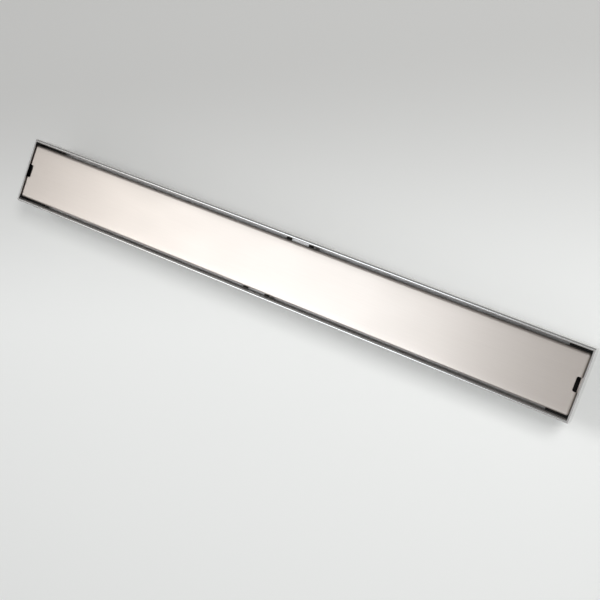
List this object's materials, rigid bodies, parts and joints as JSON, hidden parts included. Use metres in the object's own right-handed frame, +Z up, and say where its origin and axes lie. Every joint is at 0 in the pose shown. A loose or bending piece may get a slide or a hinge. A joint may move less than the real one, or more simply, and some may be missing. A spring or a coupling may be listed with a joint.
{
  "type": "linear shower drain",
  "caption": "Long shallow folded-steel channel with end plates, a lift-out brushed cover between narrow drain slots, a strainer and a short outlet spigot underneath.",
  "frame": {"origin": "centre of the outlet spigot's lower end, which is the lowest point of the drain", "axes": "+X along the channel, +Y across it, +Z up out of the floor"},
  "size_m": [0.61, 0.068, 0.0567],
  "materials": {
    "brushed_steel": "fine brushed grain along the length",
    "polished_steel": "mirror polished",
    "satin_steel": "satin",
    "black_rubber": "matt",
    "grey_rubber": "matt"
  },
  "bodies": {
    "root": {"channel_body": "polished_steel", "end_plate_left": "polished_steel", "end_plate_right": "polished_steel", "cover_panel": "brushed_steel", "end_ledge_left": "satin_steel", "end_ledge_right": "satin_steel", "centre_foot_far": "satin_steel", "centre_foot_near": "satin_steel", "outlet_spigot": "satin_steel", "strainer_basket": "polished_steel", "strainer_handle": "polished_steel", "end_pad_left": "black_rubber", "end_pad_right": "black_rubber", "foot_pad_far_inner": "black_rubber", "foot_pad_far_outer": "black_rubber", "foot_pad_near_inner": "black_rubber", "foot_pad_near_outer": "black_rubber", "strainer_gasket": "grey_rubber"}
  },
  "joints": []
}
